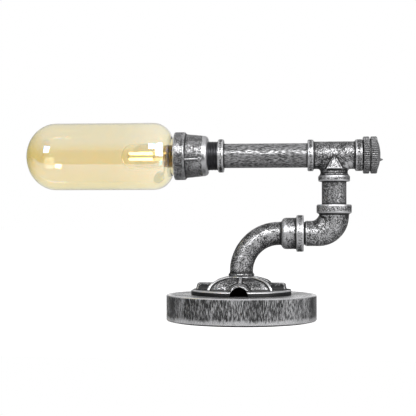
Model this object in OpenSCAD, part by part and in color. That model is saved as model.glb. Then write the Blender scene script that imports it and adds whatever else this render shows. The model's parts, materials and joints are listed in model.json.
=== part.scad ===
// Pipe-fitting table lamp: turned base, vaulted floor flange, two bends, riser,
// tee with a rotary knob, arm pipe, shade cup and a closed glass capsule shade.
// Origin at the centre of the underside; the arm runs along X, the knob is at +X.

/* [Base] */
// Diameter of the turned base
base_d = 165; // [150:1:200]
// Thickness of the turned base
base_t = 28; // [24:0.5:40]
// Thickness of the wood left above the hollow
base_roof_t = 13; // [10:0.5:15]
// Diameter of the hollow under the base
hollow_d = 110; // [108:1:130]
// Bevel on the two rims of the base
base_bevel = 0.8; // [0.4:0.1:2]
// Hole for the flex up through the base
wire_hole_d = 16; // [14:0.5:18]
// Thickness of the felt pad
pad_t = 2.5; // [2:0.1:4]
// Depth of the pad's recess
pad_recess = 1.5; // [0.8:0.1:1.8]
// Margin between the pad and the rim
pad_margin = 5; // [3:0.5:10]
// Bore of the cord inlet
inlet_bore = 7; // [5:0.2:8]
// Wall of the inlet grommet
grommet_wall = 1; // [0.8:0.1:1.5]
// Width of the grommet's flange beyond its tube
grommet_flange = 2; // [1.5:0.1:2.5]
// Length of the grommet's tube
grommet_l = 20; // [12:1:22]

/* [Flange] */
// Diameter of the flange's plate
flange_d = 111; // [106:1:120]
// Thickness of the plate
plate_t = 5.5; // [3.5:0.5:7]
// Width of the square vault
vault_w = 68; // [64:1:70]
// Height of the vault's upright wall above the base
vault_wall = 2.5; // [2:0.5:4]
// Radius of the vault's shoulder
vault_shoulder_r = 13.5; // [12:0.5:15]
// Slope of the vault's roof near the collar
roof_angle = 17; // [14:1:20]
// Thickness of the casting
cast_wall = 3.5; // [3:0.1:4]
// Width of the raised ribs
rib_w = 3; // [2.4:0.2:5]
// Height of the raised ribs
rib_h = 1.4; // [0.8:0.1:1.6]
// Outer radius of the arched mouths
arch_r = 12.6; // [12:0.1:14]
// Height of the arch's centre above the base
arch_rise = 0.5; // [0.4:0.1:2]
// Clear radius of the mouths
mouth_r = 9.8; // [8:0.1:10]
// Radius of the arch faces at the base
arch_face_r = 51.2; // [49:0.2:51.6]
// Lean of the arch faces
arch_lean = 17; // [12:1:20]
// How far the lip stands out round a mouth
arch_lip = 0.9; // [0.5:0.1:1.2]
// Diameter of the collar
collar_d = 29; // [28:0.5:31]
// Height of the collar above the roof
collar_lip = 1.5; // [0.4:0.1:1.5]
// Circle of the fixing screws
screw_circle_d = 94; // [93:0.5:97]
// Angle of the first screw from the arm's direction
screw_angle = 60; // [57:1:62]
// Diameter of the fixing screws
screw_d = 4; // [3:0.5:5]
// Depth of thread in the plate
screw_grip = 2.9; // [2:0.1:3.2]

/* [Sweep bend] */
// Outer diameter of the bend's tube
bend_d = 25.5; // [24.6:0.1:26.5]
// Bore of the bend
bend_bore = 18; // [16:0.5:18.5]
// Radius of the bend's centre line
bend_r = 41.5; // [36:0.5:60]
// Straight foot under the bend
bend_foot = 5.5; // [4.5:0.5:20]
// Diameter of the bead at the foot
foot_bead_d = 28.6; // [27:0.1:28.8]
// Height of the foot's bead
foot_bead_h = 3.2; // [2.4:0.1:4]
// Diameter of the threaded spigot in the collar
spigot_d = 21; // [20.5:0.1:23]
// Gap left between the spigot and the base below it
spigot_clear = 2.8; // [2:0.2:6]
// Straight length before the hub
bend_lead = 2.5; // [1:0.5:20]
// Length of the hub up to its band
hub_l = 16.3; // [14:0.1:24]
// Length of the flare into the hub
flare_l = 5; // [3:0.5:7]
// Diameter of the hub
hub_d = 34.4; // [31.6:0.1:36]
// Diameter of the hub's band
hub_band_d = 40.2; // [38:0.2:44]
// Width of the hub's band
hub_band_w = 8.1; // [6:0.1:12]

/* [Street elbow] */
// Diameter of the elbow's neck
elbow_neck_d = 27.7; // [27.4:0.1:28.5]
// Straight length of the neck in view
elbow_neck = 16.4; // [8:0.1:30]
// Radius of the elbow's outer curve
elbow_outer_r = 33; // [33:0.5:44]
// Radius of the elbow's inner corner
elbow_inner_r = 10; // [6:0.5:11]
// Diameter of the elbow under its band
elbow_top_d = 32.5; // [31.5:0.1:32.8]
// Straight length under the band
elbow_top_l = 2.85; // [2:0.05:10]
// Diameter of the elbow's band
elbow_band_d = 38.3; // [36:0.1:42]
// Width of the elbow's band
elbow_band_w = 9.7; // [7:0.1:12]
// Bore of the elbow
elbow_bore = 19; // [16:0.5:20]
// Length of the elbow's thread in the hub
elbow_grip = 14; // [8:0.5:16]

/* [Pipe and tee] */
// Outer diameter of the pipe
pipe_d = 26.9; // [26.3:0.1:27.1]
// Bore of the pipe
pipe_bore = 21.6; // [20.8:0.1:22]
// Length of the riser in view
riser_l = 25.1; // [10:0.1:80]
// Length of pipe in a socket
socket_l = 9; // [6:0.5:11]
// Diameter of the tee's run
tee_d = 30.2; // [30:0.1:32]
// Diameter of the tee's branch
branch_d = 29.8; // [29.5:0.1:29.9]
// Branch length from the run's axis
branch_l = 28.8; // [28:0.1:40]
// Run length from the branch to the arm end
tee_left = 28.9; // [28:0.1:40]
// Run length from the branch to the knob end
tee_right = 31.1; // [30.5:0.1:45]
// Radius of the fillet in the tee's corners
tee_fillet = 5; // [3:0.5:6]
// Width of the raised web between run and branch
web_w = 17.6; // [12:0.2:20]
// Height of the web below the run's axis
web_h = 15.6; // [12:0.2:16]
// Lean of the web's face
web_lean = 8; // [4:1:10]
// Diameter of the tee's beads
bead_d = 34.6; // [33:0.1:38]
// Width of the beads on the arm and branch ends
bead_w = 6.5; // [5:0.1:8]
// Width of the bead on the knob end
knob_bead_w = 8.3; // [6:0.1:10]
// Bore of the tee's branch
branch_bore = 21.2; // [20:0.1:21.4]
// Length of the arm pipe in view
arm_l = 91.9; // [40:0.1:240]

/* [Shade cup] */
// Diameter of the lock ring
lock_ring_d = 36.7; // [35:0.1:42]
// Width of the lock ring
lock_ring_w = 6.3; // [5:0.1:8]
// Diameter of the threaded nipple
nipple_d = 31.7; // [31:0.1:33]
// Length of nipple in view
nipple_l = 10.5; // [8:0.1:30]
// Length of nipple in the cup
nipple_grip = 10; // [8:0.5:12]
// Length of the cup
cup_l = 37.9; // [36:0.1:44]
// Height of the front ring above the cup
cup_ring_h = 2.2; // [1.2:0.1:4]
// Width of the front ring
cup_ring_w = 12.8; // [10:0.1:14]
// Wall of the cup round the seat
cup_wall = 2.8; // [2.3:0.1:4]
// Taper of the cup towards its shoulder
cup_taper = 2; // [1:0.1:2.6]
// Radius of the cup's shoulder
cup_shoulder_r = 5; // [3:0.5:5.4]
// Depth of the seat for the shade
cup_seat = 15.8; // [14:0.1:17]
// Diameter of the seat for the shade
cup_seat_d = 43; // [42.6:0.1:44]
// Number of cast ribs round the cup
cup_ribs = 2; // [2:1:8]
// Angle of the first rib from the top
cup_rib_angle = 102; // [90:1:120]
// Width of a cast rib
cup_rib_w = 2.2; // [1.8:0.1:4]
// Diameter of the boss at a rib's end
cup_boss_d = 4.4; // [4:0.1:6]
// Length of a cast rib
cup_rib_l = 18.5; // [10:0.5:19]
// Height of a cast rib
cup_rib_h = 1.3; // [0.6:0.1:1.6]

/* [Glass shade] */
// Diameter of the glass capsule
glass_d = 74.5; // [66:0.5:90]
// Length of the capsule outside the cup
glass_l = 166.6; // [145:0.1:240]
// Thickness of the glass
glass_wall = 2.2; // [1.6:0.1:2.4]
// Length of the rounded end
glass_end_l = 33.5; // [28:0.5:40]
// Radius of the shoulder at the neck
glass_shoulder_r = 22; // [20:0.5:24]
// Thickness of the rubber sleeve round the neck
sleeve_t = 0.8; // [0.6:0.1:1]
// Thickness of the rubber flange behind the neck
sleeve_flange = 2; // [1.5:0.1:3]
// Length of the rubber sleeve on the neck
sleeve_l = 12; // [6:0.5:13]

/* [Lamp] */
// Outer diameter of the lamp holder
holder_d = 34; // [33:0.1:34.8]
// Length of the lamp holder
holder_l = 26; // [24:0.5:27]
// Depth of the lamp holder's mouth
holder_depth = 16; // [14:0.5:17]
// Outer diameter of the holder's threaded shell
holder_shell_d = 29.5; // [29.2:0.1:30.5]
// Wall of the threaded shell
shell_wall = 1; // [0.6:0.1:1.1]
// Thread diameter of the bulb's cap
cap_d = 26.2; // [25.8:0.1:26.4]
// Length of the cap in view
cap_out = 11.7; // [9:0.1:13]
// Length of the cap's threaded shell
cap_l = 19.5; // [18:0.1:20]
// Wall of the cap
cap_wall = 0.7; // [0.4:0.1:0.8]
// Length of the cap's insulator
cap_insulator_l = 3.5; // [2.5:0.1:4]
// Length of the cap's contact
cap_contact_l = 1.5; // [1:0.1:2]
// Diameter of the bulb's tube
bulb_d = 28; // [26:0.5:34]
// Length of the bulb's tube
bulb_l = 48.1; // [46:0.1:80]
// Diameter of the bulb's neck
bulb_neck_d = 22; // [20:0.1:22.2]
// Thickness of the bulb's glass
bulb_wall = 0.8; // [0.6:0.1:1]
// Length of a filament
filament_l = 27.4; // [20:0.2:28]
// Diameter of a filament
filament_d = 1.6; // [1.2:0.1:2]
// Spacing of the filaments
filament_pitch = 6.4; // [5:0.2:8]
// Length of the stem in the bulb's tube
stem_out = 11.5; // [9:0.5:13]
// Diameter of the stem
stem_d = 6; // [5:0.2:8]
// Thickness of the lead wires
lead_t = 0.8; // [0.6:0.1:1.2]

/* [Knob and switch] */
// Diameter over the knurl
knob_d = 40.6; // [38:0.2:46]
// Number of flutes in the knurl
knurl_n = 56; // [40:1:64]
// Depth of a flute
knurl_depth = 0.7; // [0.4:0.1:0.9]
// Width of the inner knurled ring
knob_ring1 = 6.4; // [5.5:0.1:9]
// Width of the groove between the rings
knob_groove_w = 1.7; // [1:0.1:2.5]
// Depth of the groove between the rings
knob_groove = 2.6; // [1.5:0.1:4]
// Width of the outer knurled ring
knob_ring2 = 6.7; // [6.5:0.1:11]
// Bevel of the outer ring's edge
knob_bevel = 1; // [0.6:0.1:2]
// Diameter of the dome on the knob
dome_d = 35; // [22:0.5:36]
// Height of the dome
dome_h = 3.9; // [3:0.1:6]
// Length of the index nib
nib_l = 4.6; // [3:0.1:6]
// Distance of the nib from the axis
nib_off = 5; // [4:0.1:8]
// Diameter of the nib at its root
nib_d = 5; // [4:0.1:6]
// Gap between the knob and the tee
knob_gap = 0.5; // [0.3:0.1:1]
// Diameter of the switch's shaft
shaft_d = 6; // [5:0.1:6.4]
// Depth of the flat on the shaft
shaft_flat = 0.8; // [0.5:0.1:1.2]
// Depth of the shaft in the knob
shaft_grip = 9.5; // [9:0.1:10]
// Diameter of the switch's threaded neck
switch_neck_d = 10; // [9:0.1:11]
// Diameter of the switch
switch_d = 20.4; // [18:0.1:20.6]
// Length of the switch
switch_l = 15; // [12:0.5:16]
// Length of the threaded bush in the tee
bush_l = 7; // [5:0.5:8]
// Width of the nut across its flats
nut_af = 14; // [13:0.5:15]
// Thickness of the nut
nut_t = 2.4; // [1.6:0.1:2.6]
// Diameter of the nut's recess in the knob
recess_d = 20; // [19:0.5:24]
// Depth of the nut's recess in the knob
recess_l = 4; // [3.6:0.1:4.6]
// Diameter of the knob's set screw
set_screw_d = 3; // [2.5:0.1:3.5]

/* [Wiring] */
// Diameter of the supply flex
flex_d = 6; // [4:0.1:6.4]
// Diameter of the lamp flex
lamp_flex_d = 5; // [4:0.1:5.4]
// Length of the terminal block
block_l = 22; // [16:0.5:26]
// Width of the terminal block
block_w = 16; // [12:0.5:20]
// Height of the terminal block
block_h = 9; // [8:0.5:9.5]
// Distance of the terminal block from the axis
block_off = 12; // [11:0.5:14]

/* [Hidden] */
$fn = 72;

// Radial gap between pieces that screw together
thread_gap = 0.1;
// Radial gap of the turning shaft
run_gap = 0.05;
// Gap at the bottom of a socket
end_gap = 0.3;
// Radial gap round the fixing screws and their heads
screw_gap = 0.2;
// Gap round the felt pad
pad_gap = 0.3;
// Hair's breadth that keeps two faces from coinciding
hair = 0.01;
// How far a cutter reaches past the face it opens
over = 1;
// Small rounding on the edges of beads and bands
edge_r = 1.1;
// Slope beside a bead or a band
bead_ease = 0.6;
band_ease = 1.2;
// Cone at the bottom of the hub's socket
socket_taper = 2;

// Heights of the stand
disc_z = pad_t - pad_recess;
base_top = disc_z + base_t;
hollow_top = base_top - base_roof_t;
hollow_floor = disc_z + pad_recess;
plate_top = base_top + plate_t;
collar_r = collar_d / 2;
shoulder_x = vault_w / 2 - vault_shoulder_r;
collar_top = base_top + roof_top(0) + collar_lip;
spigot_l = collar_top - base_top - spigot_clear;

// Places of the bends, the riser and the run
bend_cz = collar_top + bend_foot;
hub_z = bend_cz + bend_r;
hub_x = bend_r + bend_lead;
hub_band_x = hub_x + hub_l;
hub_end = hub_band_x + hub_band_w;
elbow_cx = hub_end + elbow_neck;
elbow_cz = hub_z + elbow_outer_r - elbow_neck_d / 2;
riser_x = elbow_cx + elbow_outer_r - elbow_top_d / 2;
elbow_band_z = elbow_cz + elbow_top_l;
elbow_end = elbow_band_z + elbow_band_w;
branch_end = elbow_end + riser_l;
run_z = branch_end + branch_l;
tee_x0 = riser_x - tee_left;
tee_x1 = riser_x + tee_right;
pipe_socket_d = pipe_d + 2 * thread_gap;

// Depth of the arm pipe in the nipple
nipple_socket = 14;
// Step from the shade's seat down to the room behind it
seat_step = 2.5;
// How far the neck shows in front of the cup
neck_show = 1.7;
// Depth of the bulb's neck in its cap
bulb_in = 5;
// How far the switch's neck stands past its nut
neck_proud = 0.6;
// How far the set screw sits below the knurl
set_screw_sink = 2;

// Places along the arm
ring_x1 = tee_x0 - arm_l;
ring_x0 = ring_x1 - lock_ring_w;
cup_x1 = ring_x0 - nipple_l;
cup_x0 = cup_x1 - cup_l;
nipple_x0 = cup_x1 - nipple_grip;
arm_x0 = ring_x1 - nipple_socket;
cup_rear_bore = nipple_d + 2 * thread_gap;
cup_room_d = cup_seat_d - 2 * seat_step;
cup_d = cup_seat_d + 2 * cup_wall;
cup_ring_d = cup_d + 2 * cup_ring_h;
cup_end_d = cup_d - 2 * cup_taper;
neck_d = cup_seat_d - 2 * sleeve_t - 4 * thread_gap;
seat_x = cup_x0 + cup_seat;
neck_x1 = seat_x - sleeve_flange;
glass_x0 = cup_x0 - glass_l;
glass_r = glass_d / 2;

// Places of the lamp
holder_x1 = nipple_x0;
holder_x0 = holder_x1 - holder_l;
holder_floor = holder_x0 + holder_depth;
cap_x = cup_x0 - cap_out;
insulator_x = cap_x + cap_l;
contact_x = insulator_x + cap_insulator_l;
contact_end = contact_x + cap_contact_l;
bulb_tip = cap_x - bulb_l;
bulb_r = bulb_d / 2;
stem_x = cap_x - stem_out;
filament_x1 = stem_x - lead_t;
filament_x0 = filament_x1 - filament_l;

// Places of the knob and the switch
bush_x = tee_x1 - bush_l;
switch_x0 = bush_x - switch_l;
neck_out = nut_t + neck_proud;
knob_x0 = tee_x1 + knob_gap;
knob_ring1_x = knob_x0 + knob_ring1;
knob_ring2_x = knob_ring1_x + knob_groove_w;
knob_x1 = knob_ring2_x + knob_ring2;
knob_floor = knob_x0 + recess_l;
shaft_x1 = knob_floor + shaft_grip;
shaft_x0 = bush_x - switch_l / 3;
set_screw_x = shaft_x1 - shaft_grip / 3;

// Colours of the finishes
aged_silver = [0.42, 0.42, 0.43];
dark_iron = [0.2, 0.2, 0.21];
painted_wood = [0.36, 0.36, 0.37];
amber_glass = [0.92, 0.85, 0.66, 0.35];
clear_glass = [0.97, 0.94, 0.85, 0.35];
brass = [0.72, 0.56, 0.3];
plated = [0.75, 0.74, 0.72];
rubber = [0.09, 0.09, 0.09];

// Points on an arc, as [x, y]
function arc(c, r, a0, a1, n = 6) =
    [for (i = [0:n]) let (a = a0 + (a1 - a0) * i / n) c + r * [cos(a), sin(a)]];

// Upper outline of a band with rounded edges, as [axial, radius]
function band(x0, x1, r, e = edge_r) =
    concat(arc([x0 + e, r - e], e, 180, 90, 4), arc([x1 - e, r - e], e, 90, 0, 4));

// Height of the vault's roof at the collar, for a skin grown by g
function roof_top(g) =
    let (r = vault_shoulder_r + g, a = 90 - roof_angle)
    vault_wall + r * sin(a) + (shoulder_x + r * cos(a) - collar_r) * tan(roof_angle);

// Right half of the vault's cross-section, for a skin grown by g
function vault_half(g) =
    concat([[shoulder_x + vault_shoulder_r + g, 0]],
           arc([shoulder_x, vault_wall], vault_shoulder_r + g, 0, 90 - roof_angle, 9),
           [[collar_r, roof_top(g)]]);

function mirrored(p) = [for (i = [len(p) - 1:-1:0]) [-p[i][0], p[i][1]]];

// Piece turned about the X axis at the height of the run, from [x, radius] points
module turned_run(p) {
    translate([0, 0, run_z]) turned_x(p);
}

module turned_x(p) {
    rotate([0, 90, 0]) rotate_extrude() polygon([for (q = p) [q[1], q[0]]]);
}

// Piece turned about the Z axis, from [radius, z] points
module turned_z(p) {
    rotate_extrude() polygon(p);
}

// Straight rod along X
module rod_x(x0, x1, d) {
    translate([x0, 0, 0]) rotate([0, 90, 0]) cylinder(d = d, h = x1 - x0);
}

module rod_run(x0, x1, d) {
    translate([0, 0, run_z]) rod_x(x0, x1, d);
}

// Straight rod along Z
module rod_z(z0, z1, d) {
    translate([0, 0, z0]) cylinder(d = d, h = z1 - z0);
}

// Quarter of a round tube in the XZ plane, from angle a to a + 90 about its centre
module quarter(r, d, a) {
    rotate([90, 0, 0]) rotate([0, 0, a]) rotate_extrude(angle = 90) translate([r, 0]) circle(d = d);
}

// Closed skin over rings of points, each ring with the same count
module skin(rings) {
    n = len(rings[0]);
    m = len(rings);
    polyhedron(
        points = [for (ring = rings) each ring],
        faces = concat(
            [[for (i = [n - 1:-1:0]) i]],
            [for (j = [0:m - 2], i = [0:n - 1])
                let (k = (i + 1) % n, a = j * n)
                each [[a + i, a + n + k, a + n + i], [a + i, a + k, a + n + k]]],
            [[for (i = [0:n - 1]) (m - 1) * n + i]]));
}

// Ring of n points about a point of the XZ plane, square to the direction of travel u = [x, z]
function ring(c, u, r, n) =
    [for (i = [0:n - 1]) let (t = 360 * i / n)
        [c[0] - u[1] * r * cos(t), r * sin(t), c[1] + u[0] * r * cos(t)]];

// Direction of a path of [x, z] points at point i
function heading(p, i) =
    let (v = p[min(i + 1, len(p) - 1)] - p[max(i - 1, 0)]) v / norm(v);

// Flex along a path of [x, z] points, with flat ends square to its first and last run
module flex(p, d, sides = 8) {
    skin([for (i = [0:len(p) - 1])
        ring(p[i], i == 0 || i == len(p) - 1 ? round_off(heading(p, i)) : heading(p, i), d / 2, sides)]);
}

function round_off(u) = abs(u[0]) > abs(u[1]) ? [sign(u[0]), 0] : [0, sign(u[1])];

// Base

module at_screws() {
    for (a = [screw_angle, 180 - screw_angle, 180 + screw_angle, -screw_angle])
        rotate([0, 0, a]) translate([screw_circle_d / 2, 0, 0]) children();
}

grommet_tube_d = inlet_bore + 2 * grommet_wall;
grommet_flange_d = grommet_tube_d + 2 * grommet_flange;
grommet_flange_t = 2.6;
grommet_gap = 0.1;
inlet_sink = 0.4;
inlet_z = (hollow_floor + hollow_top) / 2;
inlet_face = base_d / 2 - inlet_sink;
terminal_screw_d = 3;
terminal_grip = 8;
terminal_head_d = 5.6;
terminal_head_h = 2;
terminal_z = hollow_top - block_h;
well_d = 4;
screw_head_d = 8;
screw_head_h = 3;
screw_slot_w = 1;
screw_slot_t = 1.4;

module at_inlet() {
    translate([0, inlet_face, inlet_z]) rotate([90, 0, 0]) children();
}

module base_disc() {
    r = base_d / 2;
    pad_r = r - pad_margin;
    color(painted_wood) difference() {
        turned_z([
            [0, hollow_top], [hollow_d / 2, hollow_top], [hollow_d / 2, hollow_floor], [pad_r, hollow_floor],
            [pad_r, disc_z], [r - base_bevel, disc_z], [r, disc_z + base_bevel], [r, base_top - base_bevel],
            [r - base_bevel, base_top], [0, base_top]
        ]);
        rod_z(hollow_top - over, base_top + over, wire_hole_d);
        at_screws() {
            rod_z(hollow_top - over, base_top + over, screw_d + 2 * screw_gap);
            rod_z(disc_z - over, hollow_top, screw_head_d + 2 * screw_gap);
        }
        at_inlet() translate([0, 0, -over]) {
            cylinder(d = grommet_tube_d + 2 * grommet_gap, h = r);
            cylinder(d = grommet_flange_d + 2 * grommet_gap, h = grommet_flange_t + over);
        }
        at_block()
            rod_z(hollow_top - over, hollow_top + terminal_grip + over, terminal_screw_d + 2 * thread_gap);
    }
}

module base_pad() {
    color(rubber) rod_z(0, pad_t, base_d - 2 * pad_margin - 2 * pad_gap);
}

module cord_grommet() {
    color(rubber) at_inlet() difference() {
        union() {
            cylinder(d = grommet_flange_d, h = grommet_flange_t);
            cylinder(d = grommet_tube_d, h = grommet_l);
        }
        translate([0, 0, -over]) cylinder(d = inlet_bore, h = grommet_l + 2 * over);
    }
}

module at_block() {
    translate([-block_off - block_l / 2, 0, 0]) children();
}

module terminal_block() {
    color([0.85, 0.83, 0.76]) at_block() difference() {
        translate([-block_l / 2, -block_w / 2, terminal_z]) cube([block_l, block_w, block_h]);
        rod_z(terminal_z - over, hollow_top + over, terminal_screw_d + 2 * thread_gap);
        rod_z(terminal_z - over, terminal_z + terminal_head_h, terminal_head_d + 2 * thread_gap);
        for (x = [-1, 1], y = [-1, 1]) translate([x * block_l / 3, y * block_w / 4, 0])
            rod_z(terminal_z - over, terminal_z + block_h / 2, well_d);
    }
}

module terminal_screw() {
    color(plated) at_block() {
        rod_z(terminal_z, terminal_z + terminal_head_h, terminal_head_d);
        rod_z(terminal_z + terminal_head_h, hollow_top + terminal_grip, terminal_screw_d);
    }
}

module flange_screws() {
    color(plated) at_screws() difference() {
        union() {
            rod_z(hollow_top - screw_head_h, hollow_top, screw_head_d);
            rod_z(hollow_top, base_top + screw_grip - end_gap, screw_d);
        }
        for (a = [0, 90]) rotate([0, 0, a])
            translate([-screw_head_d / 3, -screw_slot_w / 2, hollow_top - screw_head_h - over])
                cube([screw_head_d * 2 / 3, screw_slot_w, over + screw_slot_t]);
    }
}

// Floor flange

collar_h = collar_top - base_top;
collar_boss = 12;
rib_drop = 0.3;
arch_step = 1;
mouth_wall = 6;

module vault_slab(g) {
    half = vault_half(g);
    rotate([90, 0, 0]) linear_extrude(flange_d, center = true) polygon(concat(half, mirrored(half)));
}

module vault(g) {
    intersection() {
        vault_slab(g);
        rotate([0, 0, 90]) vault_slab(g);
    }
}

module arch_cone(g) {
    h = arch_rise + arch_r + over;
    cylinder(r1 = arch_face_r + g, r2 = arch_face_r + g - h * tan(arch_lean), h = h);
}

module arches(r, g) {
    intersection() {
        for (a = [0:90:270]) rotate([0, 0, a]) translate([0, 0, arch_rise])
            rod_x(collar_r, flange_d / 2, 2 * r);
        arch_cone(g);
    }
}

module ribs() {
    intersection() {
        vault(rib_h);
        for (a = [0:45:135]) rotate([0, 0, a]) translate([-flange_d / 2, -rib_w / 2, 0])
            cube([flange_d, rib_w, collar_h - rib_drop]);
    }
}

module flange() {
    r = flange_d / 2;
    color(aged_silver) translate([0, 0, base_top]) difference() {
        union() {
            turned_z([[0, 0], [r, 0], [r, plate_t - edge_r], [r - edge_r, plate_t], [0, plate_t]]);
            vault(0);
            ribs();
            arches(arch_r, 0);
            arches(arch_r - arch_step, arch_lip);
            rod_z(0, collar_h, collar_d);
        }
        difference() {
            translate([0, 0, -hair]) vault(-cast_wall);
            rod_z(collar_h - collar_boss, collar_h, collar_d);
        }
        rod_z(-over, collar_h + over, spigot_d + 2 * thread_gap);
        for (a = [0:90:270]) rotate([0, 0, a]) rod_x(collar_r + mouth_wall, r + over, 2 * mouth_r);
        at_screws() rod_z(-over, screw_grip, screw_d + 2 * thread_gap);
    }
}

// Bends, riser and tee

module sweep_bend() {
    bead_r = foot_bead_d / 2;
    bore_r = bend_bore / 2;
    socket_r = elbow_male_d / 2 + thread_gap;
    socket_x = hub_end - elbow_grip - end_gap;
    color(aged_silver) difference() {
        union() {
            rod_z(collar_top - spigot_l, collar_top, spigot_d);
            translate([0, 0, collar_top]) turned_z(concat(
                [[0, 0]],
                [for (q = band(0, foot_bead_h, bead_r, edge_r)) [q[1], q[0]]],
                [[bend_d / 2, foot_bead_h + bead_ease], [bend_d / 2, bend_foot], [0, bend_foot]]));
            translate([bend_r, 0, bend_cz]) quarter(bend_r, bend_d, 90);
            translate([0, 0, hub_z]) turned_x(concat(
                [[bend_r, 0], [bend_r, bend_d / 2], [hub_x, bend_d / 2]],
                arc([hub_x + flare_l, hub_d / 2 - flare_l], flare_l, 150, 90, 5),
                [[hub_band_x, hub_d / 2]],
                band(hub_band_x, hub_end, hub_band_d / 2),
                [[hub_end, 0]]));
        }
        rod_z(collar_top - spigot_l - over, bend_cz, bend_bore);
        translate([bend_r, 0, bend_cz]) quarter(bend_r, bend_bore, 90);
        translate([0, 0, hub_z]) turned_x([
            [bend_r, 0], [bend_r, bore_r], [socket_x - socket_taper, bore_r], [socket_x, socket_r],
            [hub_end + over, socket_r], [hub_end + over, 0]
        ]);
    }
}

elbow_male_d = 27;
relief_d = 24.6;
relief_w = 1.8;
web_inset = 0.4;
web_d = elbow_neck_d - 1.7;
loft_sides = 40;
loft_steps = 10;
loft_lap = 0.4;
loft_step = 0.1;

// Rings of the elbow's body, which widens as it turns up and laps over the neck and into the socket
function elbow_rings() =
    let (d0 = elbow_neck_d / cos(180 / loft_sides) + 2 * loft_step, d1 = elbow_top_d - 2 * loft_step)
    concat([ring([elbow_cx - loft_lap, hub_z], [1, 0], d0 / 2, loft_sides)],
           [for (i = [0:loft_steps])
               let (a = 90 * i / loft_steps,
                    d = d0 + (d1 - d0) * i / loft_steps,
                    r = elbow_outer_r - (elbow_neck_d + (elbow_top_d - elbow_neck_d) * i / loft_steps) / 2,
                    c = [elbow_cx, elbow_cz] + r * [sin(a), -cos(a)])
               ring(c, [cos(a), sin(a)], d / 2, loft_sides)],
           [ring([riser_x, elbow_cz + loft_lap], [0, 1], d1 / 2, loft_sides)]);

module street_elbow() {
    neck_r = elbow_neck_d / 2;
    top_r = elbow_top_d / 2;
    male_r = elbow_male_d / 2;
    bore_r = elbow_outer_r - elbow_neck_d / 2;
    socket_z = elbow_end - socket_l - end_gap;
    web_x = riser_x - top_r + web_inset - elbow_inner_r;
    web_z = hub_z + neck_r - web_inset + elbow_inner_r;
    color(aged_silver) difference() {
        union() {
            skin(elbow_rings());
            translate([web_x, 0, web_z]) quarter(elbow_inner_r + web_d / 2, web_d, 270);
            translate([0, 0, hub_z]) turned_x([
                [hub_end - elbow_grip, 0], [hub_end - elbow_grip, male_r], [hub_end, male_r],
                [hub_end, relief_d / 2], [hub_end + relief_w, relief_d / 2], [hub_end + relief_w, neck_r],
                [elbow_cx, neck_r], [elbow_cx, 0]
            ]);
            translate([riser_x, 0, 0]) turned_z(concat(
                [[0, elbow_cz], [top_r, elbow_cz], [top_r, elbow_band_z - band_ease],
                 [top_r + band_ease, elbow_band_z]],
                [for (q = band(elbow_band_z, elbow_end, elbow_band_d / 2)) [q[1], q[0]]],
                [[0, elbow_end]]));
        }
        translate([0, 0, hub_z]) rod_x(hub_end - elbow_grip - over, riser_x - bore_r, elbow_bore);
        translate([riser_x - bore_r, 0, hub_z + bore_r]) quarter(bore_r, elbow_bore, 270);
        translate([riser_x, 0, 0]) {
            rod_z(hub_z + bore_r, elbow_end, elbow_bore);
            rod_z(socket_z, elbow_end + over, pipe_socket_d);
        }
    }
}

module riser_nipple() {
    color(aged_silver) translate([riser_x, 0, 0]) difference() {
        rod_z(elbow_end - socket_l, branch_end + socket_l, pipe_d);
        rod_z(elbow_end - socket_l - over, branch_end + socket_l + over, pipe_bore);
    }
}

sweep_inset = 0.5;
step_h = 0.8;
step_w = 1.4;

// How far the web's tip stands out of the run, and how deep it is rooted
web_lift = 0.3;
web_root = 7;

// Three-sided web on the face of the tee, leaning out towards the branch
module tee_web() {
    translate([0, -tee_d / 2 - web_lift, 0]) rotate([90 - web_lean, 0, 0]) translate([0, 0, -web_root])
        linear_extrude(web_root) polygon([[0, 0], [-web_w / 2, -web_h], [web_w / 2, -web_h]]);
}

module tee() {
    run_r = tee_d / 2;
    bead_r = bead_d / 2;
    branch_r = branch_d / 2;
    sweep_d = branch_d - 2 * sweep_inset;
    sweep_r = sweep_d / 2 + tee_fillet;
    color(aged_silver) difference() {
        union() {
            turned_run(concat(
                [[tee_x0, 0]], band(tee_x0, tee_x0 + bead_w, bead_r), [[tee_x0 + bead_w, run_r]],
                [[tee_x1 - knob_bead_w, run_r]], band(tee_x1 - knob_bead_w, tee_x1, bead_r), [[tee_x1, 0]]));
            translate([riser_x, 0, branch_end]) turned_z(concat(
                [[0, 0]], [for (q = band(0, bead_w, bead_r)) [q[1], q[0]]],
                [[branch_r + step_h, bead_w], [branch_r + step_h, bead_w + step_w],
                 [branch_r, bead_w + step_w + step_h / 2], [branch_r, branch_l], [0, branch_l]]));
            translate([riser_x - sweep_r, 0, run_z - sweep_r]) quarter(sweep_r, sweep_d, 0);
            translate([riser_x + sweep_r, 0, run_z - sweep_r]) quarter(sweep_r, sweep_d, 90);
            for (turn = [0, 180]) translate([riser_x, 0, run_z]) rotate([0, 0, turn]) tee_web();
        }
        rod_run(tee_x0 - over, tee_x1 + over, pipe_bore);
        rod_run(tee_x0 - over, tee_x0 + socket_l + end_gap, pipe_socket_d);
        rod_run(bush_x, tee_x1 + over, pipe_socket_d);
        translate([riser_x, 0, 0]) {
            rod_z(branch_end - over, run_z, branch_bore);
            rod_z(branch_end - over, branch_end + socket_l + end_gap, pipe_socket_d);
        }
    }
}

// Arm and shade cup

module arm_pipe() {
    color(aged_silver) difference() {
        rod_run(arm_x0, tee_x0 + socket_l, pipe_d);
        rod_run(arm_x0 - over, tee_x0 + socket_l + over, pipe_bore);
    }
}

module lock_ring() {
    color(aged_silver) turned_run(concat(
        [[ring_x0, cup_rear_bore / 2]], band(ring_x0, ring_x1, lock_ring_d / 2),
        [[ring_x1, cup_rear_bore / 2]]));
}

thread_pitch = 1.75;
thread_depth = 0.6;
thread_margin = 0.5;

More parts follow.
